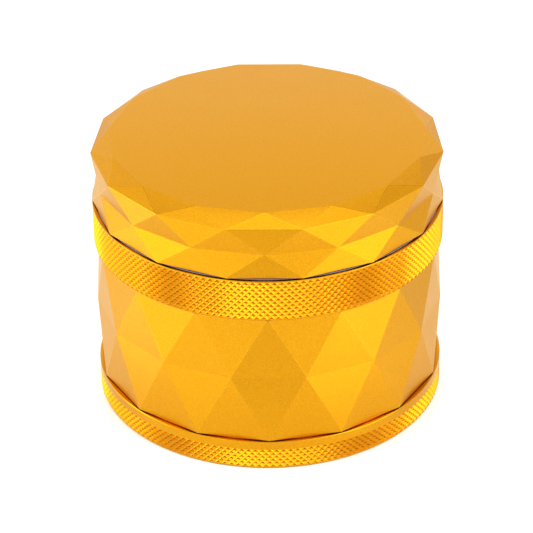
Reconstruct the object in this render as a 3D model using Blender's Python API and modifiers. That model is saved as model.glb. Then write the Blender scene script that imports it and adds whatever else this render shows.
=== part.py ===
"""Four-piece screw-together herb grinder in gold anodised aluminium.

From the bottom up: a knurled catch cup, a faceted collecting body with a woven sieve,
a knurled grinding chamber with a pierced floor, and a faceted lid held by two magnets.
The chamber and the body unscrew, the lid spins on a plastic ring and lifts off.

Units are metres, +Z is up, and the origin is the middle of the face that it stands on.
All the turning pieces share the Z axis, so every object's origin lies on its joint.
"""
import math

import bmesh
import bpy
from mathutils import Matrix

MM = 0.001

# ---- driving dimensions ----------------------------------------------------------------
OUTER_RADIUS = 31.5 * MM       # crest of the knurling on both round rings
FACETS = 15                    # corners in each faceted ring
ROUND_STEPS = 60               # segments in a full turn
GAP = 0.3 * MM                 # clearance between neighbouring pieces
EDGE = 0.3 * MM                # chamfer on turned edges
LID_TURN = math.radians(-0.8)  # the lid stands slightly turned from the body
OVERRUN = 1 * MM               # how far a cutter passes the face that it cuts through
FACET_SHADING_ANGLE = math.radians(2)

# Heights of the outside, from the standing face upwards.
CUP_TOP = 5.55 * MM
BODY_BOTTOM = 5.8 * MM
BODY_WAIST = 18.6 * MM
BODY_TOP = 30.5 * MM
CHAMBER_BOTTOM = 30.8 * MM
CHAMBER_RIM = 38.3 * MM
LID_BOTTOM = 38.83 * MM
LID_WAIST = 43.3 * MM
LID_GIRDLE = 48.3 * MM
LID_TOP = 50.2 * MM

# Corner radii of the faceted rings.
BODY_BOTTOM_RADIUS = 31.36 * MM
BODY_WAIST_RADIUS = 31.4 * MM
BODY_TOP_RADIUS = 31.02 * MM
LID_BOTTOM_RADIUS = 31.48 * MM
LID_WAIST_RADIUS = 30.71 * MM
LID_GIRDLE_RADIUS = 31.4 * MM
LID_TOP_RADIUS = 28.22 * MM

# Spigots: the short tubes on one piece that enter the bore of the next.
SPIGOT_RADIUS = 28.3 * MM
BORE_RADIUS = SPIGOT_RADIUS + GAP
RELIEF_RADIUS = SPIGOT_RADIUS - 0.5 * MM
RELIEF_HEIGHT = 0.6 * MM
CUP_SPIGOT_TOP = 9.7 * MM
CHAMBER_SPIGOT_BOTTOM = 25.8 * MM

# Catch cup.
CUP_INNER_RADIUS = 26.5 * MM
CUP_FLOOR = 2.0 * MM
CUP_FILLET = 3.0 * MM

# Collecting body.
BODY_INNER_RADIUS = 27.0 * MM
UPPER_BORE_FLOOR = 25.2 * MM
LEDGE_BOTTOM = 10.1 * MM
LEDGE_TOP = 11.4 * MM
LEDGE_RADIUS = 25.0 * MM
CLIP_GROOVE_BOTTOM = 13.7 * MM
CLIP_GROOVE_TOP = 15.1 * MM
CLIP_GROOVE_RADIUS = 27.7 * MM

# Sieve.
SIEVE_RIM_OUTER = 26.7 * MM
SIEVE_RIM_INNER = 25.2 * MM
SIEVE_RIM_SLOT = 26.1 * MM
SIEVE_RIM_BOTTOM = LEDGE_TOP + GAP
SIEVE_RIM_HEIGHT = 1.7 * MM
SIEVE_SLOT_HEIGHT = 0.9 * MM
SIEVE_MESH_RADIUS = 25.8 * MM
SIEVE_MESH_THICKNESS = 0.3 * MM
CLIP_RADIUS = 26.85 * MM
CLIP_WIRE_RADIUS = 0.5 * MM
CLIP_GAP_ANGLE = math.radians(16)
CLIP_POINTS = 48

# Grinding chamber.
CHAMBER_INNER_RADIUS = 26.6 * MM
CHAMBER_FLOOR = 33.2 * MM
CHAMBER_FLOOR_UNDERSIDE = 30.4 * MM
CHAMBER_WALL_TOP = 46.6 * MM
RIM_CHAMFER = 0.35 * MM
RING_SEAT = 37.75 * MM
RING_SEAT_RADIUS = 31.0 * MM
HOLE_RADIUS = 1.9 * MM
HOLE_STEPS = 12
HOLE_RINGS = ((9.6 * MM, 6), (17.2 * MM, 12), (24.4 * MM, 18))

# Lid and its low-friction ring.
LID_CEILING = 47.0 * MM
GLIDE_RING_BOTTOM = 38.0 * MM
GLIDE_RING_TOP = 38.6 * MM
GLIDE_RING_OUTER = 30.8 * MM

# Hubs in the middle of the lid and the chamber, each with a magnet pressed into it.
HUB_RADIUS = 5.5 * MM
CHAMBER_HUB_TOP = 40.0 * MM
LID_HUB_BOTTOM = 40.6 * MM
MAGNET_RADIUS = 4.0 * MM
MAGNET_HEIGHT = 2.0 * MM
POCKET_RADIUS = MAGNET_RADIUS + 0.25 * MM
POCKET_DEPTH = MAGNET_HEIGHT + 2 * GAP

# Teeth: diamond posts on circles that pass between each other as the lid turns.
TOOTH_RADIAL = 1.4 * MM        # half width across the circle
TOOTH_TANGENT = 2.3 * MM       # half width along the circle
TOOTH_TAPER = 0.85             # width at the tip over width at the root
TOOTH_CLEARANCE = 0.6 * MM
TOOTH_ROOT = 0.5 * MM          # depth of the tooth inside the face that it stands on
LID_TOOTH_RINGS = ((9.6 * MM, 4), (17.2 * MM, 8), (24.7 * MM, 12))
CHAMBER_TOOTH_RINGS = ((13.4 * MM, 7), (21.0 * MM, 11))


# ---- scene, collections and materials --------------------------------------------------
def empty_scene():
    for old in list(bpy.data.objects):
        bpy.data.objects.remove(old, do_unlink=True)
    parts = bpy.data.collections.new("herb_grinder")
    cutters = bpy.data.collections.new("cutters")
    for collection in (parts, cutters):
        bpy.context.scene.collection.children.link(collection)
    return parts, cutters


def make_material(name, colour, roughness, metallic):
    material = bpy.data.materials.new(name)
    material.use_nodes = True
    shader = material.node_tree.nodes["Principled BSDF"]
    shader.inputs["Base Color"].default_value = (*colour, 1)
    shader.inputs["Roughness"].default_value = roughness
    shader.inputs["Metallic"].default_value = metallic
    return material


PARTS, CUTTERS = empty_scene()


def gold(name):
    return make_material(name + "_gold", (0.87, 0.39, 0.03), 0.38, 1.0)


def nickel(name):
    return make_material(name + "_nickel", (0.72, 0.71, 0.69), 0.22, 1.0)


def steel(name):
    return make_material(name + "_steel", (0.56, 0.57, 0.58), 0.35, 1.0)


def bare_aluminium(name):
    return make_material(name + "_aluminium", (0.75, 0.76, 0.77), 0.35, 1.0)


def plastic(name):
    return make_material(name + "_plastic", (0.55, 0.52, 0.58), 0.45, 0.0)


# ---- shape tools -----------------------------------------------------------------------
def add_object(name, mesh, material=None):
    """A part when it has a material, otherwise a hidden cutter."""
    item = bpy.data.objects.new(name, mesh)
    if material:
        PARTS.objects.link(item)
        mesh.materials.append(material)
    else:
        CUTTERS.objects.link(item)
        item.hide_render = True
        item.display_type = "WIRE"
    return item


def shade_facets(item):
    """Smooth shading that keeps every facet's edge sharp."""
    item.data.shade_smooth()
    item.data.set_sharp_from_angle(angle=FACET_SHADING_ANGLE)


def arc(centre_r, centre_z, radius, start, end, steps=5):
    """Points of a circular arc in the profile plane; angles in degrees from +X."""
    points = []
    for i in range(steps + 1):
        angle = math.radians(start + (end - start) * i / steps)
        points.append((centre_r + radius * math.cos(angle), centre_z + radius * math.sin(angle)))
    return points


def turned(name, profile, material=None, closed=False):
    """A turned piece: its (radius, height) profile runs down the outer side."""
    mesh = bpy.data.meshes.new(name)
    edges = [(i, i + 1) for i in range(len(profile) - 1)]
    if closed:
        edges.append((len(profile) - 1, 0))
    mesh.from_pydata([(r, 0, z) for r, z in profile], edges, [])
    item = add_object(name, mesh, material)
    screw = item.modifiers.new("turn", "SCREW")
    screw.axis = "Z"
    screw.angle = math.tau
    screw.steps = ROUND_STEPS
    screw.render_steps = ROUND_STEPS
    screw.use_merge_vertices = True
    screw.merge_threshold = 0.00001
    screw.use_smooth_shade = True
    return item


def faceted(name, rings, turn, material):
    """Rings of corners, each half a step round from the last, joined by flat triangles.

    rings holds (radius, height, half_step) from the top down; the front corner is at -Y.
    """
    step = math.tau / FACETS
    bm = bmesh.new()
    loops = []
    for radius, height, half_step in rings:
        first = turn - math.pi / 2 + half_step * step / 2
        angles = [first + i * step for i in range(FACETS)]
        loops.append([bm.verts.new((radius * math.cos(a), radius * math.sin(a), height)) for a in angles])
    for (upper, lower), ring in zip(zip(loops, loops[1:]), rings):
        for i in range(FACETS):
            j = (i + 1) % FACETS
            if ring[2]:
                bm.faces.new((upper[i], lower[j], upper[j]))
                bm.faces.new((upper[i], lower[i], lower[j]))
            else:
                bm.faces.new((upper[i], lower[i], upper[j]))
                bm.faces.new((upper[j], lower[i], lower[j]))
    bm.faces.new(loops[0])
    bm.faces.new(reversed(loops[-1]))
    bmesh.ops.recalc_face_normals(bm, faces=bm.faces)
    mesh = bpy.data.meshes.new(name)
    bm.to_mesh(mesh)
    bm.free()
    return add_object(name, mesh, material)


def posts(name, rings, bottom, top, add_post):
    """Upright posts standing on circles; rings holds (radius, count) of each circle."""
    bm = bmesh.new()
    for radius, count in rings:
        for i in range(count):
            made = add_post(bm, top - bottom)
            bmesh.ops.translate(bm, verts=made, vec=(radius, 0, (top + bottom) / 2))
            turn = Matrix.Rotation(math.tau * (i + 0.5) / count, 3, "Z")
            bmesh.ops.rotate(bm, verts=made, cent=(0, 0, 0), matrix=turn)
    mesh = bpy.data.meshes.new(name)
    bm.to_mesh(mesh)
    bm.free()
    return add_object(name, mesh)


def rising_tooth(bm, height):
    """One diamond tooth, narrower at its upper end, with a point along the circle each way."""
    made = bmesh.ops.create_cone(
        bm, cap_ends=True, segments=4, depth=height, radius1=1, radius2=TOOTH_TAPER)["verts"]
    bmesh.ops.scale(bm, verts=made, vec=(TOOTH_RADIAL, TOOTH_TANGENT, 1))
    return made


def hanging_tooth(bm, height):
    """The same tooth the other way up."""
    made = rising_tooth(bm, height)
    bmesh.ops.rotate(bm, verts=made, cent=(0, 0, 0), matrix=Matrix.Rotation(math.pi, 3, "X"))
    return made


def hole(bm, height):
    return bmesh.ops.create_cone(
        bm, cap_ends=True, segments=HOLE_STEPS, depth=height,
        radius1=HOLE_RADIUS, radius2=HOLE_RADIUS)["verts"]


def boolean(item, tool, operation):
    modifier = item.modifiers.new(operation.lower(), "BOOLEAN")
    modifier.operation = operation
    modifier.solver = "EXACT"
    modifier.object = tool


# ---- the pieces ------------------------------------------------------------------------
def base_cup():
    """Knurled catch cup with an upstanding spigot that carries the body."""
    profile = [(0, CUP_FLOOR)]
    profile += arc(CUP_INNER_RADIUS - CUP_FILLET, CUP_FLOOR + CUP_FILLET, CUP_FILLET, -90, 0)
    profile += [
        (CUP_INNER_RADIUS, CUP_SPIGOT_TOP - EDGE),
        (CUP_INNER_RADIUS + EDGE, CUP_SPIGOT_TOP),
        (SPIGOT_RADIUS - EDGE, CUP_SPIGOT_TOP),
        (SPIGOT_RADIUS, CUP_SPIGOT_TOP - EDGE),
        (SPIGOT_RADIUS, CUP_TOP + RELIEF_HEIGHT),
        (RELIEF_RADIUS, CUP_TOP + RELIEF_HEIGHT),
        (RELIEF_RADIUS, CUP_TOP),
        (OUTER_RADIUS - EDGE / 2, CUP_TOP),
        (OUTER_RADIUS, CUP_TOP - EDGE / 2),
        (OUTER_RADIUS, EDGE),
        (OUTER_RADIUS - EDGE, 0),
        (0, 0),
    ]
    return turned("base_cup", profile, gold("base_cup"))


def collector_body():
    """Faceted body: a tube with a bore at each end, a sieve ledge and a clip groove."""
    rings = (
        (BODY_TOP_RADIUS, BODY_TOP, False),
        (BODY_WAIST_RADIUS, BODY_WAIST, True),
        (BODY_BOTTOM_RADIUS, BODY_BOTTOM, False),
    )
    body = faceted("collector_body", rings, 0, gold("collector_body"))
    profile = [
        (0, BODY_TOP + OVERRUN),
        (BORE_RADIUS + EDGE + OVERRUN, BODY_TOP + OVERRUN),
        (BORE_RADIUS, BODY_TOP - EDGE),
        (BORE_RADIUS, UPPER_BORE_FLOOR),
        (BODY_INNER_RADIUS, UPPER_BORE_FLOOR),
        (BODY_INNER_RADIUS, CLIP_GROOVE_TOP),
        (CLIP_GROOVE_RADIUS, CLIP_GROOVE_TOP),
        (CLIP_GROOVE_RADIUS, CLIP_GROOVE_BOTTOM),
        (BODY_INNER_RADIUS, CLIP_GROOVE_BOTTOM),
        (BODY_INNER_RADIUS, LEDGE_TOP),
        (LEDGE_RADIUS, LEDGE_TOP),
        (LEDGE_RADIUS, LEDGE_BOTTOM),
        (BORE_RADIUS, LEDGE_BOTTOM),
        (BORE_RADIUS, BODY_BOTTOM + EDGE),
        (BORE_RADIUS + EDGE + OVERRUN, BODY_BOTTOM - OVERRUN),
        (0, BODY_BOTTOM - OVERRUN),
    ]
    boolean(body, turned("body_bore", profile), "DIFFERENCE")
    shade_facets(body)
    return body


def sieve_rim():
    """Turned rim with a slot inside that grips the edge of the mesh."""
    bottom = SIEVE_RIM_BOTTOM
    top = bottom + SIEVE_RIM_HEIGHT
    slot_bottom = bottom + (SIEVE_RIM_HEIGHT - SIEVE_SLOT_HEIGHT) / 2
    slot_top = slot_bottom + SIEVE_SLOT_HEIGHT
    profile = [
        (SIEVE_RIM_INNER, top),
        (SIEVE_RIM_OUTER, top),
        (SIEVE_RIM_OUTER, bottom),
        (SIEVE_RIM_INNER, bottom),
        (SIEVE_RIM_INNER, slot_bottom),
        (SIEVE_RIM_SLOT, slot_bottom),
        (SIEVE_RIM_SLOT, slot_top),
        (SIEVE_RIM_INNER, slot_top),
    ]
    return turned("sieve_rim", profile, bare_aluminium("sieve_rim"), closed=True)


def sieve_mesh():
    """The woven sieve, as a plain disc of its outer shape."""
    middle = SIEVE_RIM_BOTTOM + SIEVE_RIM_HEIGHT / 2
    top = middle + SIEVE_MESH_THICKNESS / 2
    bottom = middle - SIEVE_MESH_THICKNESS / 2
    profile = [(0, top), (SIEVE_MESH_RADIUS, top), (SIEVE_MESH_RADIUS, bottom), (0, bottom)]
    return turned("sieve_mesh", profile, steel("sieve_mesh"))


def sieve_clip():
    """Open ring of spring wire that snaps into the groove above the sieve."""
    curve = bpy.data.curves.new("sieve_clip", "CURVE")
    curve.dimensions = "3D"
    curve.bevel_depth = CLIP_WIRE_RADIUS
    curve.bevel_resolution = 2
    curve.use_fill_caps = True
    spline = curve.splines.new("POLY")
    spline.points.add(CLIP_POINTS - 1)
    height = (CLIP_GROOVE_BOTTOM + CLIP_GROOVE_TOP) / 2
    for i, point in enumerate(spline.points):
        angle = CLIP_GAP_ANGLE / 2 + (math.tau - CLIP_GAP_ANGLE) * i / (CLIP_POINTS - 1)
        point.co = (CLIP_RADIUS * math.cos(angle), CLIP_RADIUS * math.sin(angle), height, 1)
    curve.materials.append(steel("sieve_clip"))
    item = bpy.data.objects.new("sieve_clip", curve)
    PARTS.objects.link(item)
    return item


def grinding_chamber():
    """Knurled ring with a pierced floor, a hub, teeth and a skirt, cut in one piece."""
    profile = [
        (0, CHAMBER_HUB_TOP - POCKET_DEPTH),
        (POCKET_RADIUS, CHAMBER_HUB_TOP - POCKET_DEPTH),
        (POCKET_RADIUS, CHAMBER_HUB_TOP),
        (HUB_RADIUS - EDGE, CHAMBER_HUB_TOP),
        (HUB_RADIUS, CHAMBER_HUB_TOP - EDGE),
        (HUB_RADIUS, CHAMBER_FLOOR),
        (CHAMBER_INNER_RADIUS, CHAMBER_FLOOR),
        (CHAMBER_INNER_RADIUS, CHAMBER_WALL_TOP - EDGE),
        (CHAMBER_INNER_RADIUS + EDGE, CHAMBER_WALL_TOP),
        (SPIGOT_RADIUS - EDGE, CHAMBER_WALL_TOP),
        (SPIGOT_RADIUS, CHAMBER_WALL_TOP - EDGE),
        (SPIGOT_RADIUS, RING_SEAT),
        (RING_SEAT_RADIUS, RING_SEAT),
        (RING_SEAT_RADIUS, CHAMBER_RIM),
        (OUTER_RADIUS - RIM_CHAMFER, CHAMBER_RIM),
        (OUTER_RADIUS, CHAMBER_RIM - RIM_CHAMFER),
        (OUTER_RADIUS, CHAMBER_BOTTOM + EDGE / 2),
        (OUTER_RADIUS - EDGE / 2, CHAMBER_BOTTOM),
        (RELIEF_RADIUS, CHAMBER_BOTTOM),
        (RELIEF_RADIUS, CHAMBER_BOTTOM - RELIEF_HEIGHT),
        (SPIGOT_RADIUS, CHAMBER_BOTTOM - RELIEF_HEIGHT),
        (SPIGOT_RADIUS, CHAMBER_SPIGOT_BOTTOM + EDGE),
        (SPIGOT_RADIUS - EDGE, CHAMBER_SPIGOT_BOTTOM),
        (CHAMBER_INNER_RADIUS + EDGE, CHAMBER_SPIGOT_BOTTOM),
        (CHAMBER_INNER_RADIUS, CHAMBER_SPIGOT_BOTTOM + EDGE),
        (CHAMBER_INNER_RADIUS, CHAMBER_FLOOR_UNDERSIDE),
        (0, CHAMBER_FLOOR_UNDERSIDE),
    ]
    chamber = turned("grinding_chamber", profile, gold("grinding_chamber"))
    drilled = (CHAMBER_FLOOR_UNDERSIDE - OVERRUN, CHAMBER_FLOOR + OVERRUN)
    holes = posts("floor_holes", HOLE_RINGS, *drilled, hole)
    milled = (CHAMBER_FLOOR - TOOTH_ROOT, LID_CEILING - TOOTH_CLEARANCE)
    teeth = posts("chamber_teeth", CHAMBER_TOOTH_RINGS, *milled, rising_tooth)
    boolean(chamber, holes, "DIFFERENCE")
    boolean(chamber, teeth, "UNION")
    return chamber


def lid_shell():
    """Faceted lid, hollow below, with a hub and teeth hanging from its ceiling."""
    rings = (
        (LID_TOP_RADIUS, LID_TOP, False),
        (LID_GIRDLE_RADIUS, LID_GIRDLE, True),
        (LID_WAIST_RADIUS, LID_WAIST, False),
        (LID_BOTTOM_RADIUS, LID_BOTTOM, True),
    )
    lid = faceted("lid_shell", rings, LID_TURN, gold("lid_shell"))
    profile = [
        (0, LID_HUB_BOTTOM + POCKET_DEPTH),
        (POCKET_RADIUS, LID_HUB_BOTTOM + POCKET_DEPTH),
        (POCKET_RADIUS, LID_HUB_BOTTOM),
        (HUB_RADIUS - EDGE, LID_HUB_BOTTOM),
        (HUB_RADIUS, LID_HUB_BOTTOM + EDGE),
        (HUB_RADIUS, LID_CEILING),
        (BORE_RADIUS, LID_CEILING),
        (BORE_RADIUS, LID_BOTTOM + EDGE),
        (BORE_RADIUS + EDGE + OVERRUN, LID_BOTTOM - OVERRUN),
        (0, LID_BOTTOM - OVERRUN),
    ]
    boolean(lid, turned("lid_bore", profile), "DIFFERENCE")
    milled = (CHAMBER_FLOOR + TOOTH_CLEARANCE, LID_CEILING + TOOTH_ROOT)
    boolean(lid, posts("lid_teeth", LID_TOOTH_RINGS, *milled, hanging_tooth), "UNION")
    shade_facets(lid)
    return lid


def magnet(name, bottom):
    """Nickel-plated disc magnet with bevelled edges."""
    bm = bmesh.new()
    bmesh.ops.create_cone(
        bm, cap_ends=True, segments=ROUND_STEPS // 2, depth=MAGNET_HEIGHT,
        radius1=MAGNET_RADIUS, radius2=MAGNET_RADIUS)
    bmesh.ops.translate(bm, verts=bm.verts, vec=(0, 0, bottom + MAGNET_HEIGHT / 2))
    mesh = bpy.data.meshes.new(name)
    bm.to_mesh(mesh)
    bm.free()
    item = add_object(name, mesh, nickel(name))
    bevel = item.modifiers.new("edge", "BEVEL")
    bevel.width = EDGE / 2
    bevel.segments = 1
    return item


def glide_ring():
    """Low-friction plastic ring that the lid turns on."""
    profile = [
        (BORE_RADIUS, GLIDE_RING_TOP),
        (GLIDE_RING_OUTER, GLIDE_RING_TOP),
        (GLIDE_RING_OUTER, GLIDE_RING_BOTTOM),
        (BORE_RADIUS, GLIDE_RING_BOTTOM),
    ]
    return turned("glide_ring", profile, plastic("glide_ring"), closed=True)


base_cup()
sieve_rim()
sieve_mesh()
sieve_clip()
collector_body()
grinding_chamber()
magnet("chamber_magnet", CHAMBER_HUB_TOP - GAP - MAGNET_HEIGHT)
glide_ring()
lid_shell()
magnet("lid_magnet", LID_HUB_BOTTOM + GAP)
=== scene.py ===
"""Looks of a four-piece herb grinder in gold anodised aluminium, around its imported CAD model.

The four aluminium shells are rebuilt with their knurling, bevelled facets, screw threads, drilled floor
and milled teeth; the sieve is woven from wires; the small round pieces are turned finely.
Lengths are in metres. Heights run up from the standing face, and everything turns about the Z axis.
"""
import math

import bmesh
import bpy
from mathutils import Matrix, Vector


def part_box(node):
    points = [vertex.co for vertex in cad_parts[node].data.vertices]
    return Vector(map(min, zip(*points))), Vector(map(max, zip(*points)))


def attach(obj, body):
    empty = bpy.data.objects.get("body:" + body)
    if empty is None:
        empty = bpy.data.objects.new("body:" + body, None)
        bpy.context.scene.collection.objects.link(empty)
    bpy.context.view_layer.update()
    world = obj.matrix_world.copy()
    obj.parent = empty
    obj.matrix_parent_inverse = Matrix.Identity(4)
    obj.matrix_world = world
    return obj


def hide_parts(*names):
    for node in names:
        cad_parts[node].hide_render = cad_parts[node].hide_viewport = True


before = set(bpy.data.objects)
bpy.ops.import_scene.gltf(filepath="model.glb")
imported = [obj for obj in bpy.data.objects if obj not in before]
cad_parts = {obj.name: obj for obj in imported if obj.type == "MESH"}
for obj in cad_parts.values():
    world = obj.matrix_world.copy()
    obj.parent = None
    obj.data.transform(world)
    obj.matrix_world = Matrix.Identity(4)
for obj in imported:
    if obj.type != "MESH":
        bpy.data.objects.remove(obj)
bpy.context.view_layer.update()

MM = 0.001


def top_of(node):
    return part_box(node)[1][2]


def bottom_of(node):
    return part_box(node)[0][2]


def radius_of(node):
    low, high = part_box(node)
    return (high[0] - low[0]) / 2


# ---- sizes -----------------------------------------------------------------------------
OUTER_RADIUS = radius_of("grinding_chamber")
COLUMNS = 160                  # knurl cells in a full turn, and the segments of every turned surface
FACETS = 15                    # corners in each faceted ring
LID_TURN = math.radians(-0.8)  # the lid stands slightly turned from the body
EDGE = 0.25 * MM               # chamfer on turned edges
FACET_EDGE = 0.05 * MM         # bevel between two facets
FLATTEST_CREASE = math.radians(8)   # facets that meet more flatly have no bevel
OVERRUN = 1 * MM               # how far a cutter passes the face that it cuts through
SMOOTH_ANGLE = math.radians(28)     # edges sharper than this are drawn sharp

# Heights of the outside, from the standing face upwards.
CUP_TOP = 5.62 * MM
BODY_BOTTOM = bottom_of("collector_body")
CUP_SEAT = BODY_BOTTOM - 0.05 * MM   # raised land that the body comes down to
CUP_SEAT_RADIUS = 30.5 * MM
BODY_WAIST = 18.6 * MM
BODY_TOP = top_of("collector_body")
CHAMBER_BOTTOM = 30.8 * MM
CHAMBER_RIM = 38.55 * MM
LID_WAIST = 43.3 * MM
LID_GIRDLE = 48.3 * MM
LID_BOTTOM = 38.83 * MM
LID_TOP = top_of("lid_shell")

# Corner radii of the faceted rings.
BODY_BOTTOM_RADIUS = 31.36 * MM
BODY_WAIST_RADIUS = 31.4 * MM
BODY_TOP_RADIUS = 31.02 * MM
LID_BOTTOM_RADIUS = 31.48 * MM
LID_WAIST_RADIUS = 30.71 * MM
LID_GIRDLE_RADIUS = 31.4 * MM
LID_TOP_RADIUS = 28.22 * MM

# Knurling: square pits between ridges that cross at 45 degrees.
KNURL_LAND = 0.05 * MM         # half width of the flat left along each ridge
KNURL_DEPTH = 0.42 * MM
UPPER_KNURL = (38.4 * MM, 31.02 * MM, 12)   # top, bottom and rows of half cells
LOWER_KNURL = (4.05 * MM, 0.35 * MM, 6)

# Screw threads: a trapezoid ridge on the spigot runs between the turns of one in the bore.
THREAD_PITCH = 1.5 * MM
THREAD_STEPS = 72              # sections in one turn
THREAD_RUN_OUT = 8             # sections over which a ridge rises from its wall
THREAD_MIDDLE = 28.25 * MM     # radius where ridge and groove are equally wide
THREAD_HALF_WIDTH = 0.31 * MM  # half width of a ridge at that radius
THREAD_FLANK = math.tan(math.radians(30))
SPIGOT_ROOT = 27.9 * MM
SPIGOT_CREST = 28.5 * MM
BORE_ROOT = 28.7 * MM
BORE_CREST = 28.02 * MM
RIDGE_DEPTH = 0.2 * MM         # how far a ridge is rooted in its wall
CUP_RIDGE = (6.7 * MM, 9.1 * MM)           # heights between which each ridge runs
LOWER_BORE_RIDGE = (6.5 * MM, 9.3 * MM)
SKIRT_RIDGE = (26.5 * MM, 29.4 * MM)
UPPER_BORE_RIDGE = (26.0 * MM, 29.7 * MM)
LOWER_THREAD = 6.6 * MM        # where the cup's ridge passes angle 0
UPPER_THREAD = 26.9 * MM       # where the chamber's ridge passes angle 0
RELIEF_RADIUS = 27.7 * MM      # undercut between a threaded spigot and its shoulder
RELIEF_HEIGHT = 0.6 * MM
PLAIN_SPIGOT = 28.3 * MM       # the smooth wall that the lid turns around
PLAIN_BORE = 28.6 * MM

# Catch cup and collecting body.
CUP_INNER_RADIUS = 26.5 * MM
CUP_FLOOR = 2.0 * MM
CUP_FILLET = 3.0 * MM
CUP_SPIGOT_TOP = top_of("base_cup")
BODY_INNER_RADIUS = 27.0 * MM
UPPER_BORE_FLOOR = 25.2 * MM
LEDGE_BOTTOM = 10.1 * MM
LEDGE_TOP = 11.4 * MM
LEDGE_RADIUS = 25.0 * MM
CLIP_GROOVE = (13.7 * MM, 15.1 * MM, 27.7 * MM)   # bottom, top and radius

# Sieve.
RIM_SLOT_RADIUS = 26.1 * MM
RIM_SLOT_HEIGHT = 0.9 * MM
RIM_INNER_RADIUS = 25.2 * MM
WIRE_PITCH = 1.1 * MM
WIRE_RADIUS = 0.1 * MM
WIRE_POINTS = 3                # points along a wire for each wire that it crosses
CLIP_WIRE_RADIUS = 0.5 * MM
CLIP_RADIUS = 26.85 * MM
CLIP_GAP_ANGLE = math.radians(16)
CLIP_POINTS = 160

# Grinding chamber and lid.
CHAMBER_INNER_RADIUS = 26.6 * MM
CHAMBER_FLOOR = 33.2 * MM
CHAMBER_FLOOR_UNDERSIDE = 30.4 * MM
CHAMBER_SPIGOT_BOTTOM = bottom_of("grinding_chamber")
CHAMBER_WALL_TOP = top_of("grinding_chamber")
FLOOR_FILLET = 0.5 * MM
RIM_CHAMFER = 0.08 * MM
RING_SEAT = 37.75 * MM
RING_SEAT_RADIUS = radius_of("glide_ring") + 0.04 * MM
HOLE_RADIUS = 1.9 * MM
HOLE_CHAMFER = 0.25 * MM
HOLE_STEPS = 32
HOLE_RINGS = ((9.6 * MM, 6), (17.2 * MM, 12), (24.4 * MM, 18))
LID_CEILING = 47.0 * MM
HUB_RADIUS = 5.5 * MM
CHAMBER_HUB_TOP = 40.0 * MM
LID_HUB_BOTTOM = 40.6 * MM
POCKET_RADIUS = radius_of("lid_magnet") + 0.15 * MM
POCKET_DEPTH = 2.6 * MM
MAGNET_CORNER = 0.3 * MM
SLIP_RING_CORNER = 0.08 * MM

# Teeth: diamond posts on circles that pass between each other as the lid turns.
TOOTH_RADIAL = 1.4 * MM        # half width across the circle
TOOTH_TANGENT = 2.3 * MM       # half width along the circle
TOOTH_TAPER = 0.85             # width at the tip over width at the root
TOOTH_CLEARANCE = 0.6 * MM
TOOTH_ROOT = 0.5 * MM          # depth of the tooth inside the face that it stands on
TOOTH_EDGE = 0.18 * MM
LID_TOOTH_RINGS = ((9.6 * MM, 4), (17.2 * MM, 8), (24.7 * MM, 12))
CHAMBER_TOOTH_RINGS = ((13.4 * MM, 7), (21.0 * MM, 11))

# Camera: its place around the object, and its lens.
CAMERA_AZIMUTH = math.radians(0.6)
CAMERA_ELEVATION = math.radians(30.87)
CAMERA_ROLL = math.radians(-0.85)
CAMERA_DISTANCE = 476.9 * MM
CAMERA_HEIGHT_AIM = 22.8 * MM
CAMERA_SIDESTEP = -0.41 * MM
CAMERA_LENS_MM = 176.4


# ---- camera, floor and lights ----------------------------------------------------------
def direction(azimuth, elevation):
    """Unit vector from the object: azimuth 0 is the front, at -Y, and grows towards +X."""
    flat = math.cos(elevation)
    return Vector((math.sin(azimuth) * flat, -math.cos(azimuth) * flat, math.sin(elevation)))


def add_camera():
    back = direction(CAMERA_AZIMUTH, CAMERA_ELEVATION)
    right = Vector((math.cos(CAMERA_AZIMUTH), math.sin(CAMERA_AZIMUTH), 0))
    up = back.cross(right)
    turn = Matrix.Rotation(CAMERA_ROLL, 3, back)
    axes = Matrix((turn @ right, turn @ up, back)).transposed().to_4x4()
    place = back * CAMERA_DISTANCE + right * CAMERA_SIDESTEP + Vector((0, 0, CAMERA_HEIGHT_AIM))
    data = bpy.data.cameras.new("camera")
    data.lens = CAMERA_LENS_MM
    data.clip_start = 0.01
    camera = bpy.data.objects.new("camera", data)
    bpy.context.scene.collection.objects.link(camera)
    camera.matrix_world = Matrix.Translation(place) @ axes
    bpy.context.scene.camera = camera


# Soft boxes, all facing the middle of the object from the same distance.
LIGHT_AIM = Vector((0, 0, 25 * MM))
LIGHT_DISTANCE = 0.5
LIGHT_COLOUR = (0.77, 1.0, 0.93)
# name: azimuth and elevation in degrees, width and height in metres, radiance
LIGHTS = {
    "soft_left": (-48, 16, 0.48, 0.38, 1.5),
    "side_left": (-88, 14, 0.28, 0.40, 3.0),
    "low_left": (-110, 8, 0.16, 0.22, 0.8),
    "rear_left": (-122, 28, 0.28, 0.30, 0.4),
    "front_right": (25, 8, 0.18, 0.28, 0.8),
    "key_right": (48, 20, 0.22, 0.44, 2.6),
    "side_right": (74, 22, 0.24, 0.42, 2.2),
    "mid_left": (-18, 36, 0.14, 0.18, 1.4),
    "mid_right": (18, 36, 0.14, 0.18, 1.4),
    "back": (180, 26, 0.80, 0.36, 0.4),
    "high_left": (-50, 60, 0.24, 0.22, 1.2),
    "high_right": (50, 60, 0.24, 0.22, 1.2),
    "high_back": (180, 62, 0.50, 0.18, 0.5),
    "overhead": (0, 86, 0.28, 0.28, 1.6),
}

WORLD_COLOUR = (1.0, 0.99, 0.975, 1)
WORLD_STRENGTH = 1.0

# White table top: matt out to one radius, and satin from the other on.
FLOOR_SIZE = 3.0
FLOOR_DROP = 0.02 * MM         # keeps it clear of the standing face
FLOOR_ROUGHNESS = 0.25
FLOOR_SHEEN = 0.5
MATT_RADIUS = 47 * MM
SATIN_RADIUS = 63 * MM


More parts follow.
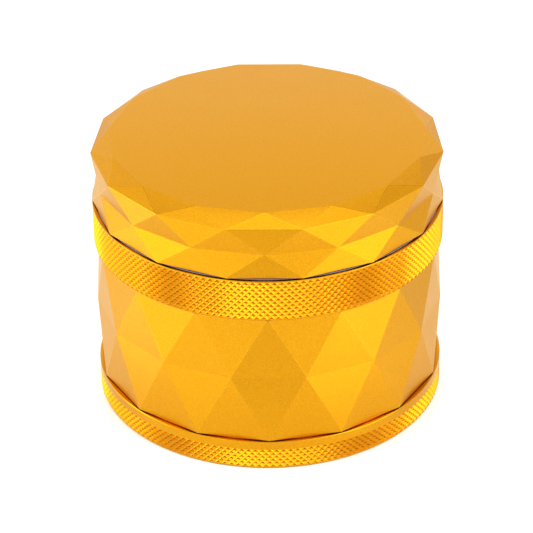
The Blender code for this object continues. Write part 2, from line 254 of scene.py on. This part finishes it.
def add_light(name, azimuth, elevation, width, height, radiance):
    away = direction(math.radians(azimuth), math.radians(elevation))
    data = bpy.data.lights.new(name, "AREA")
    data.shape = "RECTANGLE"
    data.size = width
    data.size_y = height
    data.energy = radiance * math.pi * width * height
    data.color = LIGHT_COLOUR
    light = bpy.data.objects.new(name, data)
    bpy.context.scene.collection.objects.link(light)
    light.location = LIGHT_AIM + away * LIGHT_DISTANCE
    light.rotation_euler = away.to_track_quat("Z", "Y").to_euler()


def add_studio():
    add_camera()
    for name, values in LIGHTS.items():
        add_light(name, *values)
    world = bpy.data.worlds.new("studio")
    world.use_nodes = True
    background = world.node_tree.nodes["Background"]
    background.inputs["Color"].default_value = WORLD_COLOUR
    background.inputs["Strength"].default_value = WORLD_STRENGTH
    bpy.context.scene.world = world
    bpy.context.scene.view_settings.view_transform = "Standard"
    mesh = bpy.data.meshes.new("floor")
    bm = bmesh.new()
    bmesh.ops.create_grid(bm, x_segments=1, y_segments=1, size=FLOOR_SIZE / 2)
    bmesh.ops.translate(bm, verts=bm.verts, vec=(0, 0, -FLOOR_DROP))
    bm.to_mesh(mesh)
    bm.free()
    mesh.materials.append(floor_material())
    floor = bpy.data.objects.new("floor", mesh)
    bpy.context.scene.collection.objects.link(floor)


# ---- materials -------------------------------------------------------------------------
class Nodes:
    """A new node material with a few shorthands for building its tree."""

    def __init__(self, name):
        self.material = bpy.data.materials.new(name)
        self.material.use_nodes = True
        self.tree = self.material.node_tree
        self.shader = self.tree.nodes["Principled BSDF"]
        self.place = self.tree.nodes.new("ShaderNodeTexCoord").outputs["Object"]

    def set(self, **values):
        for name, value in values.items():
            self.shader.inputs[name.replace("_", " ")].default_value = value

    def link(self, output, node, socket):
        self.tree.links.new(output, node.inputs[socket])

    def noise(self, per_mm, detail=3.0, stretch=(1, 1, 1)):
        """Noise with so many features to a millimetre, more or fewer along each axis by stretch."""
        scale = self.tree.nodes.new("ShaderNodeMapping")
        scale.inputs["Scale"].default_value = [per_mm / MM * s for s in stretch]
        self.link(self.place, scale, "Vector")
        texture = self.tree.nodes.new("ShaderNodeTexNoise")
        texture.inputs["Scale"].default_value = 1
        texture.inputs["Detail"].default_value = detail
        self.link(scale.outputs["Vector"], texture, "Vector")
        return texture.outputs["Fac"]

    def ramp(self, value, low, high, start=0.3, stop=0.7):
        """Maps noise onto a range of numbers."""
        node = self.tree.nodes.new("ShaderNodeMapRange")
        for socket, number in (("From Min", start), ("From Max", stop), ("To Min", low), ("To Max", high)):
            node.inputs[socket].default_value = number
        self.link(value, node, "Value")
        return node.outputs["Result"]

    def blend(self, factor, first, second):
        """Mixes two colours; the sockets are the Mix node's colour ones."""
        node = self.tree.nodes.new("ShaderNodeMix")
        node.data_type = "RGBA"
        node.inputs[6].default_value = (*first, 1)
        node.inputs[7].default_value = (*second, 1)
        self.link(factor, node, 0)
        return node.outputs[2]

    def bump(self, height, depth, under=None):
        """Bump whose full height is depth, on top of another bump's normal."""
        node = self.tree.nodes.new("ShaderNodeBump")
        node.inputs["Strength"].default_value = 1
        node.inputs["Distance"].default_value = depth
        self.link(height, node, "Height")
        if under:
            self.link(under, node, "Normal")
        return node.outputs["Normal"]

    def finish(self, colour=None, roughness=None, normal=None):
        for output, socket in ((colour, "Base Color"), (roughness, "Roughness"), (normal, "Normal")):
            if output:
                self.link(output, self.shader, socket)
        return self.material


GOLD_LIGHT = (0.675, 0.279, 0.0080)
GOLD_DEEP = (0.575, 0.232, 0.0062)
GOLD_EDGE_TINT = (1.0, 0.95, 0.8, 1)   # colour of the gold at grazing angles
GOLD_GRAIN = 4.5               # features to a millimetre in the grain, lines and clouds
GOLD_LINES = 3.2
GOLD_CLOUDS = 0.12
LINES_ROUND_AXIS = (0.05, 0.05, 1)   # stretches noise into level lines


def gold_material(name, roughness, line_depth, grain_depth):
    """Satin gold anodising: fine speckled grain, turning lines round the axis and cloudy sheen."""
    made = Nodes(name)
    made.set(Metallic=1.0, Specular_Tint=GOLD_EDGE_TINT)
    lines = made.noise(GOLD_LINES, 2.0, LINES_ROUND_AXIS)
    grain = made.noise(GOLD_GRAIN, 2.0)
    colour = made.blend(made.ramp(grain, 0, 1, 0.35, 0.65), GOLD_DEEP, GOLD_LIGHT)
    rough = made.ramp(made.noise(GOLD_CLOUDS), roughness - 0.02, roughness + 0.02)
    normal = made.bump(grain, grain_depth, made.bump(lines, line_depth))
    return made.finish(colour, rough, normal)


def metal_material(name, light, dark, roughness, line_depth):
    """Bare or plated metal with faint turning lines."""
    made = Nodes(name)
    made.set(Metallic=1.0)
    colour = made.blend(made.ramp(made.noise(0.5), 0, 1), dark, light)
    rough = made.ramp(made.noise(2.5), roughness - 0.06, roughness + 0.06)
    normal = made.bump(made.noise(4.0, 2.0, LINES_ROUND_AXIS), line_depth)
    return made.finish(colour, rough, normal)


def plastic_with_painted_shade_material():
    made = Nodes("glide_plastic_painted_shade")
    made.set(Specular_IOR_Level=0.5)
    # Grey-lilac far darker than the ring's own pale plastic. The darkness is painted shade of the narrow
    # gap under the lid's overhang; the lilac tint and the random mottling are its own.
    colour = made.blend(made.ramp(made.noise(0.8), 0, 1), (0.21, 0.19, 0.23), (0.26, 0.24, 0.28))
    rough = made.ramp(made.noise(3.0), 0.32, 0.46)
    return made.finish(colour, rough, made.bump(made.noise(5.0), 0.002 * MM))


def floor_material():
    """White, matt under and around the object and satin further out."""
    made = Nodes("studio_floor")
    colour = made.blend(made.ramp(made.noise(0.02), 0, 1), (0.93, 0.93, 0.93), (0.94, 0.94, 0.94))
    reach = made.tree.nodes.new("ShaderNodeVectorMath")
    reach.operation = "LENGTH"
    made.link(made.place, reach, 0)
    sheen = made.ramp(reach.outputs["Value"], 0, FLOOR_SHEEN, MATT_RADIUS, SATIN_RADIUS)
    made.link(sheen, made.shader, "Metallic")
    made.set(Roughness=FLOOR_ROUGHNESS)
    return made.finish(colour)


FACET_GOLD = gold_material("gold_facets", 0.33, 0.012 * MM, 0.018 * MM)
TURNED_GOLD = gold_material("gold_turned", 0.25, 0.006 * MM, 0.003 * MM)
EDGE_GOLD = gold_material("gold_edges", 0.22, 0.0005 * MM, 0.0006 * MM)
NICKEL = metal_material("nickel_look", (0.80, 0.78, 0.74), (0.70, 0.68, 0.65), 0.20, 0.001 * MM)
STEEL = metal_material("steel_look", (0.60, 0.61, 0.62), (0.46, 0.47, 0.48), 0.30, 0.001 * MM)
ALUMINIUM = metal_material("aluminium_look", (0.82, 0.83, 0.84), (0.70, 0.71, 0.72), 0.34, 0.004 * MM)
# The glide ring's plastic has painted shade in its darkened colour.
SHADE_DARKENED_PLASTIC = plastic_with_painted_shade_material()


# ---- shape tools -----------------------------------------------------------------------
def to_object(bm, name, materials=()):
    bmesh.ops.recalc_face_normals(bm, faces=bm.faces)
    mesh = bpy.data.meshes.new(name)
    bm.to_mesh(mesh)
    bm.free()
    for material in materials:
        mesh.materials.append(material)
    item = bpy.data.objects.new(name, mesh)
    bpy.context.scene.collection.objects.link(item)
    return item


def arc(centre_r, centre_z, radius, start, end, steps=8):
    """Points of a circular arc in the profile plane; angles in degrees from +X."""
    points = []
    for i in range(steps + 1):
        angle = math.radians(start + (end - start) * i / steps)
        points.append((centre_r + radius * math.cos(angle), centre_z + radius * math.sin(angle)))
    return points


def ring(bm, radius, height, steps, half_step=0.0):
    """One ring of vertices, or a single one on the axis; half_step turns it by that many steps."""
    if radius == 0:
        return [bm.verts.new((0, 0, height))]
    made = []
    for i in range(steps):
        angle = math.tau * (i + half_step) / steps
        made.append(bm.verts.new((radius * math.cos(angle), radius * math.sin(angle), height)))
    return made


def strip(bm, upper, lower):
    """Faces between two rings, either of which may be a single point."""
    steps = max(len(upper), len(lower))
    for i in range(steps):
        j = (i + 1) % steps
        if len(upper) == 1:
            bm.faces.new((upper[0], lower[i], lower[j]))
        elif len(lower) == 1:
            bm.faces.new((upper[i], lower[0], upper[j]))
        else:
            bm.faces.new((upper[i], lower[i], lower[j], upper[j]))


def knurl(bm, upper, top, bottom, rows):
    """A band of pyramid pits below the ring upper. Returns its lowest ring."""
    lattice = [upper]
    for k in range(1, rows + 1):
        height = top + (bottom - top) * k / rows
        lattice.append(ring(bm, OUTER_RADIUS, height, COLUMNS, 0.5 * (k % 2)))
    whole, halves = [], []
    for k in range(rows + 1):
        for i in range(COLUMNS):
            left, right = lattice[k][i], lattice[k][(i + 1) % COLUMNS]
            beside = (i + k % 2) % COLUMNS
            corners = [left]
            if k < rows:
                corners.append(lattice[k + 1][beside])
            corners.append(right)
            if k > 0:
                corners.append(lattice[k - 1][beside])
            (whole if len(corners) == 4 else halves).append(bm.faces.new(corners))
    for cells, depth in ((whole, KNURL_DEPTH), (halves, KNURL_DEPTH / 2)):
        made = bmesh.ops.inset_individual(bm, faces=cells, thickness=KNURL_LAND, use_even_offset=True)
        for face in made["faces"]:
            face.material_index = 1
        bmesh.ops.poke(bm, faces=cells, offset=-depth)
    return lattice[-1]


def turned(name, profile, materials=(), closed=False):
    """A turned piece from its (radius, height) profile, run down the outer side.

    A profile entry of three numbers is a band of knurling: its top, bottom and rows.
    """
    bm = bmesh.new()
    first = previous = None
    for entry in profile:
        if len(entry) == 3:
            previous = knurl(bm, previous, *entry)
            continue
        current = ring(bm, *entry, COLUMNS)
        if previous:
            strip(bm, previous, current)
        first = first or current
        previous = current
    if closed:
        strip(bm, previous, first)
    return to_object(bm, name, materials)


def faceted(name, rings, turn, materials):
    """Rings of corners, each half a step round from the last, joined by flat triangles.

    rings holds (radius, height, half_step) from the top down; the front corner is at -Y.
    """
    step = math.tau / FACETS
    bm = bmesh.new()
    loops = []
    for radius, height, half_step in rings:
        first = turn - math.pi / 2 + half_step * step / 2
        angles = [first + i * step for i in range(FACETS)]
        loops.append([bm.verts.new((radius * math.cos(a), radius * math.sin(a), height)) for a in angles])
    for (upper, lower), (_, _, half_step) in zip(zip(loops, loops[1:]), rings):
        for i in range(FACETS):
            j = (i + 1) % FACETS
            if half_step:
                bm.faces.new((upper[i], lower[j], upper[j]))
                bm.faces.new((upper[i], lower[i], lower[j]))
            else:
                bm.faces.new((upper[i], lower[i], upper[j]))
                bm.faces.new((upper[j], lower[i], lower[j]))
    bm.faces.new(loops[0])
    bm.faces.new(reversed(loops[-1]))
    bmesh.ops.recalc_face_normals(bm, faces=bm.faces)
    creases = [edge for edge in bm.edges if edge.calc_face_angle() > FLATTEST_CREASE]
    bmesh.ops.bevel(
        bm, geom=creases, offset=FACET_EDGE, segments=2, profile=0.5, affect="EDGES", material=1)
    return to_object(bm, name, materials)


def tooth(bm, height):
    """One diamond post, narrower at its upper end, with a point along the circle each way."""
    piece = bmesh.new()
    bmesh.ops.create_cone(
        piece, cap_ends=True, segments=4, depth=height, radius1=1, radius2=TOOTH_TAPER)
    bmesh.ops.scale(piece, verts=piece.verts, vec=(TOOTH_RADIAL, TOOTH_TANGENT, 1))
    bmesh.ops.bevel(piece, geom=piece.edges[:], offset=TOOTH_EDGE, segments=3, profile=0.5, affect="EDGES")
    return add_copy(bm, piece)


def hanging_tooth(bm, height):
    """The same post the other way up."""
    made = tooth(bm, height)
    bmesh.ops.rotate(bm, verts=made, cent=(0, 0, 0), matrix=Matrix.Rotation(math.pi, 3, "X"))
    return made


def drill(bm, height):
    """A hole with a chamfer at both ends, as the shape of what it removes."""
    wide = HOLE_RADIUS + HOLE_CHAMFER + OVERRUN
    end = height / 2
    piece = bmesh.new()
    levels = [(wide, end), (HOLE_RADIUS, end - HOLE_CHAMFER - OVERRUN),
              (HOLE_RADIUS, HOLE_CHAMFER + OVERRUN - end), (wide, -end)]
    rings = [ring(piece, radius, z, HOLE_STEPS) for radius, z in levels]
    for upper, lower in zip(rings, rings[1:]):
        strip(piece, upper, lower)
    piece.faces.new(rings[0])
    piece.faces.new(rings[-1])
    return add_copy(bm, piece)


def add_copy(bm, piece):
    """Adds one bmesh to another, and returns the vertices that came in."""
    bmesh.ops.recalc_face_normals(piece, faces=piece.faces)
    mesh = bpy.data.meshes.new("part")
    piece.to_mesh(mesh)
    piece.free()
    before = len(bm.verts)
    bm.from_mesh(mesh)
    bpy.data.meshes.remove(mesh)
    bm.verts.ensure_lookup_table()
    return bm.verts[before:]


def posts(name, rings, bottom, top, add_post):
    """Posts along circles, from one height to another; rings holds (radius, count) of each circle."""
    bm = bmesh.new()
    for radius, count in rings:
        for i in range(count):
            made = add_post(bm, top - bottom)
            bmesh.ops.translate(bm, verts=made, vec=(radius, 0, (top + bottom) / 2))
            turn = Matrix.Rotation(math.tau * (i + 0.5) / count, 3, "Z")
            bmesh.ops.rotate(bm, verts=made, cent=(0, 0, 0), matrix=turn)
    return to_object(bm, name)


def thread(name, wall, crest, start, stop, offset):
    """A helical ridge on a wall, towards crest, that rises from the wall and dies away in it.

    The ridge's middle passes angle 0 at a height of offset, and one pitch higher each turn.
    """
    outward = 1 if crest > wall else -1
    root = wall - outward * RIDGE_DEPTH
    sunk = root + outward * RIDGE_DEPTH / 2   # tip of a ridge at its ends, hidden in the wall

    def half_width(radius):
        return THREAD_HALF_WIDTH - outward * (radius - THREAD_MIDDLE) * THREAD_FLANK

    bm = bmesh.new()
    first = math.ceil((start - offset) / THREAD_PITCH * THREAD_STEPS)
    last = math.floor((stop - offset) / THREAD_PITCH * THREAD_STEPS)
    previous = None
    for i in range(first, last + 1):
        angle = math.tau * i / THREAD_STEPS
        height = offset + THREAD_PITCH * i / THREAD_STEPS
        rise = min(1, min(i - first, last - i) / THREAD_RUN_OUT)
        tip = sunk + (crest - sunk) * rise
        section = []
        for radius, side in ((root, -1), (tip, -1), (tip, 1), (root, 1)):
            z = height + side * half_width(radius)
            section.append(bm.verts.new((radius * math.cos(angle), radius * math.sin(angle), z)))
        if previous:
            for a in range(4):
                b = (a + 1) % 4
                bm.faces.new((previous[a], previous[b], section[b], section[a]))
        else:
            bm.faces.new(section)
        previous = section
    bm.faces.new(reversed(previous))
    return to_object(bm, name)


def combine(item, *steps):
    """Cuts or joins each (operation, tool) in turn, bakes the result and removes the tools."""
    for operation, tool in steps:
        modifier = item.modifiers.new(operation.lower(), "BOOLEAN")
        modifier.operation = operation
        modifier.solver = "EXACT"
        modifier.object = tool
    evaluated = item.evaluated_get(bpy.context.evaluated_depsgraph_get())
    mesh = bpy.data.meshes.new_from_object(evaluated)
    item.modifiers.clear()
    item.data = mesh
    for _, tool in steps:
        bpy.data.objects.remove(tool)
    return item


def shade(item, flat_outside_of=None):
    """Smooth round surfaces with sharp edges; facets beyond a radius stay flat."""
    mesh = item.data
    mesh.shade_smooth()
    mesh.set_sharp_from_angle(angle=SMOOTH_ANGLE)
    if flat_outside_of:
        for face in mesh.polygons:
            centre = face.center
            face.use_smooth = math.hypot(centre.x, centre.y) < flat_outside_of
    return item


def finish_piece(item, body, node):
    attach(item, body)
    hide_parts(node)


# ---- the pieces ------------------------------------------------------------------------
def base_cup():
    """Catch cup with the lower knurled ring and a threaded spigot."""
    profile = [(0, CUP_FLOOR)]
    profile += arc(CUP_INNER_RADIUS - CUP_FILLET, CUP_FLOOR + CUP_FILLET, CUP_FILLET, -90, 0, 12)
    profile += [
        (CUP_INNER_RADIUS, CUP_SPIGOT_TOP - EDGE),
        (CUP_INNER_RADIUS + EDGE, CUP_SPIGOT_TOP),
        (SPIGOT_ROOT - EDGE, CUP_SPIGOT_TOP),
        (SPIGOT_ROOT, CUP_SPIGOT_TOP - EDGE),
        (SPIGOT_ROOT, CUP_TOP + RELIEF_HEIGHT),
        (RELIEF_RADIUS, CUP_TOP + RELIEF_HEIGHT),
        (RELIEF_RADIUS, CUP_SEAT),
        (CUP_SEAT_RADIUS, CUP_SEAT),
        (CUP_SEAT_RADIUS, CUP_TOP),
        (OUTER_RADIUS - EDGE / 2, CUP_TOP),
        (OUTER_RADIUS, CUP_TOP - EDGE / 2),
        (OUTER_RADIUS, LOWER_KNURL[0]),
        LOWER_KNURL,
        (OUTER_RADIUS - EDGE, 0),
        (0, 0),
    ]
    cup = turned("cup_shell", profile, (TURNED_GOLD, EDGE_GOLD))
    ridge = thread("cup_thread", SPIGOT_ROOT, SPIGOT_CREST, *CUP_RIDGE, LOWER_THREAD)
    combine(cup, ("UNION", ridge))
    finish_piece(shade(cup), "cup", "base_cup")


def collector_body():
    """Tall faceted tube, threaded at both ends, with the sieve's ledge and the clip's groove."""
    rings = (
        (BODY_TOP_RADIUS, BODY_TOP, False),
        (BODY_WAIST_RADIUS, BODY_WAIST, True),
        (BODY_BOTTOM_RADIUS, BODY_BOTTOM, False),
    )
    body = faceted("body_shell", rings, 0, (FACET_GOLD, EDGE_GOLD))
    groove_bottom, groove_top, groove_radius = CLIP_GROOVE
    profile = [
        (0, BODY_TOP + OVERRUN),
        (BORE_ROOT + EDGE + OVERRUN, BODY_TOP + OVERRUN),
        (BORE_ROOT, BODY_TOP - EDGE),
        (BORE_ROOT, UPPER_BORE_FLOOR),
        (BODY_INNER_RADIUS + EDGE, UPPER_BORE_FLOOR),
        (BODY_INNER_RADIUS, UPPER_BORE_FLOOR - EDGE),
        (BODY_INNER_RADIUS, groove_top),
        (groove_radius, groove_top),
        (groove_radius, groove_bottom),
        (BODY_INNER_RADIUS, groove_bottom),
        (BODY_INNER_RADIUS, LEDGE_TOP),
        (LEDGE_RADIUS + EDGE, LEDGE_TOP),
        (LEDGE_RADIUS, LEDGE_TOP - EDGE),
        (LEDGE_RADIUS, LEDGE_BOTTOM),
        (BORE_ROOT, LEDGE_BOTTOM),
        (BORE_ROOT, BODY_BOTTOM + EDGE),
        (BORE_ROOT + EDGE + OVERRUN, BODY_BOTTOM - OVERRUN),
        (0, BODY_BOTTOM - OVERRUN),
    ]
    half = THREAD_PITCH / 2
    bore = turned("body_bore", profile)
    lower_ridge = thread("lower_ridge", BORE_ROOT, BORE_CREST, *LOWER_BORE_RIDGE, LOWER_THREAD + half)
    upper_ridge = thread("upper_ridge", BORE_ROOT, BORE_CREST, *UPPER_BORE_RIDGE, UPPER_THREAD + half)
    combine(body, ("DIFFERENCE", bore), ("UNION", lower_ridge), ("UNION", upper_ridge))
    finish_piece(shade(body, BORE_ROOT + 3 * EDGE), "collector", "collector_body")


def sieve_rim():
    """Turned ring with a slot inside that grips the sieve's edge."""
    outer = radius_of("sieve_rim")
    bottom, top = bottom_of("sieve_rim"), top_of("sieve_rim")
    middle = (bottom + top) / 2
    slot = RIM_SLOT_HEIGHT / 2
    round_off = EDGE / 2
    profile = [
        (RIM_INNER_RADIUS, middle + slot),
        (RIM_INNER_RADIUS, top - round_off),
        (RIM_INNER_RADIUS + round_off, top),
        (outer - round_off, top),
        (outer, top - round_off),
        (outer, bottom + round_off),
        (outer - round_off, bottom),
        (RIM_INNER_RADIUS + round_off, bottom),
        (RIM_INNER_RADIUS, bottom + round_off),
        (RIM_INNER_RADIUS, middle - slot),
        (RIM_SLOT_RADIUS, middle - slot),
        (RIM_SLOT_RADIUS, middle + slot),
    ]
    rim = turned("sieve_rim_ring", profile, (ALUMINIUM,), closed=True)
    finish_piece(shade(rim), "sieve", "sieve_rim")


def wire_curve(name, radius, material, resolution):
    curve = bpy.data.curves.new(name, "CURVE")
    curve.dimensions = "3D"
    curve.bevel_depth = radius
    curve.bevel_resolution = resolution
    curve.use_fill_caps = True
    curve.materials.append(material)
    return curve


def sieve_mesh():
    """Two sets of wires, each passing over and under the other."""
    reach = radius_of("sieve_mesh")
    middle = (bottom_of("sieve_mesh") + top_of("sieve_mesh")) / 2
    curve = wire_curve("woven_sieve", WIRE_RADIUS, STEEL, 0)
    count = int(reach / WIRE_PITCH)
    for along in (0, 1):
        for i in range(-count, count + 1):
            offset = i * WIRE_PITCH
            half_length = math.sqrt(reach ** 2 - offset ** 2) - WIRE_RADIUS
            points = int(half_length / WIRE_PITCH * WIRE_POINTS)
            spline = curve.splines.new("POLY")
            spline.points.add(2 * points)
            for k, point in enumerate(spline.points):
                phase = (k - points) / WIRE_POINTS
                wave = math.cos(math.pi * (phase + i + along))
                place = (phase * WIRE_PITCH, offset, middle + WIRE_RADIUS * wave)
                point.co = (place[along], place[1 - along], place[2], 1)
    woven = bpy.data.objects.new("woven_sieve", curve)
    bpy.context.scene.collection.objects.link(woven)
    finish_piece(woven, "sieve", "sieve_mesh")


def sieve_clip():
    """Open ring of spring wire above the sieve."""
    curve = wire_curve("spring_clip", CLIP_WIRE_RADIUS, STEEL, 4)
    spline = curve.splines.new("POLY")
    spline.points.add(CLIP_POINTS - 1)
    height = (bottom_of("sieve_clip") + top_of("sieve_clip")) / 2
    for i, point in enumerate(spline.points):
        angle = CLIP_GAP_ANGLE / 2 + (math.tau - CLIP_GAP_ANGLE) * i / (CLIP_POINTS - 1)
        point.co = (CLIP_RADIUS * math.cos(angle), CLIP_RADIUS * math.sin(angle), height, 1)
    clip = bpy.data.objects.new("spring_clip", curve)
    bpy.context.scene.collection.objects.link(clip)
    finish_piece(clip, "collector", "sieve_clip")


def grinding_chamber():
    """Upper knurled ring with its drilled floor, standing teeth and threaded skirt."""
    profile = [
        (0, CHAMBER_HUB_TOP - POCKET_DEPTH),
        (POCKET_RADIUS, CHAMBER_HUB_TOP - POCKET_DEPTH),
        (POCKET_RADIUS, CHAMBER_HUB_TOP),
        (HUB_RADIUS - EDGE, CHAMBER_HUB_TOP),
        (HUB_RADIUS, CHAMBER_HUB_TOP - EDGE),
    ]
    profile += arc(HUB_RADIUS + FLOOR_FILLET, CHAMBER_FLOOR + FLOOR_FILLET, FLOOR_FILLET, 180, 270, 4)
    fillet_middle = CHAMBER_INNER_RADIUS - FLOOR_FILLET
    profile += arc(fillet_middle, CHAMBER_FLOOR + FLOOR_FILLET, FLOOR_FILLET, -90, 0, 4)
    profile += [
        (CHAMBER_INNER_RADIUS, CHAMBER_WALL_TOP - EDGE),
        (CHAMBER_INNER_RADIUS + EDGE, CHAMBER_WALL_TOP),
        (PLAIN_SPIGOT - EDGE, CHAMBER_WALL_TOP),
        (PLAIN_SPIGOT, CHAMBER_WALL_TOP - EDGE),
        (PLAIN_SPIGOT, RING_SEAT),
        (RING_SEAT_RADIUS, RING_SEAT),
        (RING_SEAT_RADIUS, CHAMBER_RIM),
        (OUTER_RADIUS - RIM_CHAMFER, CHAMBER_RIM),
        (OUTER_RADIUS, CHAMBER_RIM - RIM_CHAMFER),
        (OUTER_RADIUS, UPPER_KNURL[0]),
        UPPER_KNURL,
        (OUTER_RADIUS - EDGE / 2, CHAMBER_BOTTOM),
        (RELIEF_RADIUS, CHAMBER_BOTTOM),
        (RELIEF_RADIUS, CHAMBER_BOTTOM - RELIEF_HEIGHT),
        (SPIGOT_ROOT, CHAMBER_BOTTOM - RELIEF_HEIGHT),
        (SPIGOT_ROOT, CHAMBER_SPIGOT_BOTTOM + EDGE),
        (SPIGOT_ROOT - EDGE, CHAMBER_SPIGOT_BOTTOM),
        (CHAMBER_INNER_RADIUS + EDGE, CHAMBER_SPIGOT_BOTTOM),
        (CHAMBER_INNER_RADIUS, CHAMBER_SPIGOT_BOTTOM + EDGE),
        (CHAMBER_INNER_RADIUS, CHAMBER_FLOOR_UNDERSIDE),
        (0, CHAMBER_FLOOR_UNDERSIDE),
    ]
    chamber = turned("chamber_shell", profile, (TURNED_GOLD, EDGE_GOLD))
    drilled = (CHAMBER_FLOOR_UNDERSIDE - OVERRUN, CHAMBER_FLOOR + OVERRUN)
    milled = (CHAMBER_FLOOR - TOOTH_ROOT, LID_CEILING - TOOTH_CLEARANCE)
    combine(
        chamber,
        ("DIFFERENCE", posts("floor_holes", HOLE_RINGS, *drilled, drill)),
        ("UNION", posts("chamber_teeth", CHAMBER_TOOTH_RINGS, *milled, tooth)),
        ("UNION", thread("skirt_ridge", SPIGOT_ROOT, SPIGOT_CREST, *SKIRT_RIDGE, UPPER_THREAD)),
    )
    finish_piece(shade(chamber), "chamber", "grinding_chamber")


def lid_shell():
    """Faceted lid with its hanging teeth and the magnet's hub."""
    rings = (
        (LID_TOP_RADIUS, LID_TOP, False),
        (LID_GIRDLE_RADIUS, LID_GIRDLE, True),
        (LID_WAIST_RADIUS, LID_WAIST, False),
        (LID_BOTTOM_RADIUS, LID_BOTTOM, True),
    )
    lid = faceted("lid_cover", rings, LID_TURN, (FACET_GOLD, EDGE_GOLD))
    fillet_middle = PLAIN_BORE - FLOOR_FILLET
    profile = [
        (0, LID_HUB_BOTTOM + POCKET_DEPTH),
        (POCKET_RADIUS, LID_HUB_BOTTOM + POCKET_DEPTH),
        (POCKET_RADIUS, LID_HUB_BOTTOM),
        (HUB_RADIUS - EDGE, LID_HUB_BOTTOM),
        (HUB_RADIUS, LID_HUB_BOTTOM + EDGE),
    ]
    profile += arc(HUB_RADIUS + FLOOR_FILLET, LID_CEILING - FLOOR_FILLET, FLOOR_FILLET, 180, 90, 4)
    profile += arc(fillet_middle, LID_CEILING - FLOOR_FILLET, FLOOR_FILLET, 90, 0, 4)
    profile += [
        (PLAIN_BORE, LID_BOTTOM + EDGE),
        (PLAIN_BORE + EDGE + OVERRUN, LID_BOTTOM - OVERRUN),
        (0, LID_BOTTOM - OVERRUN),
    ]
    milled = (CHAMBER_FLOOR + TOOTH_CLEARANCE, LID_CEILING + TOOTH_ROOT)
    combine(
        lid,
        ("DIFFERENCE", turned("lid_bore", profile)),
        ("UNION", posts("lid_teeth", LID_TOOTH_RINGS, *milled, hanging_tooth)),
    )
    finish_piece(shade(lid, PLAIN_BORE + 3 * EDGE), "lid", "lid_shell")


def magnet(name, body, node):
    """Plated disc magnet with rounded edges."""
    radius, bottom, top = radius_of(node), bottom_of(node), top_of(node)
    middle = radius - MAGNET_CORNER
    profile = [(0, top)]
    profile += arc(middle, top - MAGNET_CORNER, MAGNET_CORNER, 90, 0, 4)
    profile += arc(middle, bottom + MAGNET_CORNER, MAGNET_CORNER, 0, -90, 4)
    profile += [(0, bottom)]
    disc = turned(name, profile, (NICKEL,))
    finish_piece(shade(disc), body, node)


def glide_ring():
    """Low-friction plastic ring that the lid turns on, with softened corners."""
    outer = radius_of("glide_ring")
    bottom, top = bottom_of("glide_ring"), top_of("glide_ring")
    corner = SLIP_RING_CORNER
    profile = []
    for radius, height, start in (
            (PLAIN_BORE + corner, top - corner, 180), (outer - corner, top - corner, 90),
            (outer - corner, bottom + corner, 0), (PLAIN_BORE + corner, bottom + corner, -90)):
        profile += arc(radius, height, corner, start, start - 90, 2)
    slip = turned("slip_ring", profile, (SHADE_DARKENED_PLASTIC,), closed=True)
    finish_piece(shade(slip), "glide", "glide_ring")


add_studio()
base_cup()
sieve_rim()
sieve_mesh()
sieve_clip()
collector_body()
grinding_chamber()
magnet("chamber_disc", "chamber_lift", "chamber_magnet")
glide_ring()
lid_shell()
magnet("lid_disc", "lid", "lid_magnet")
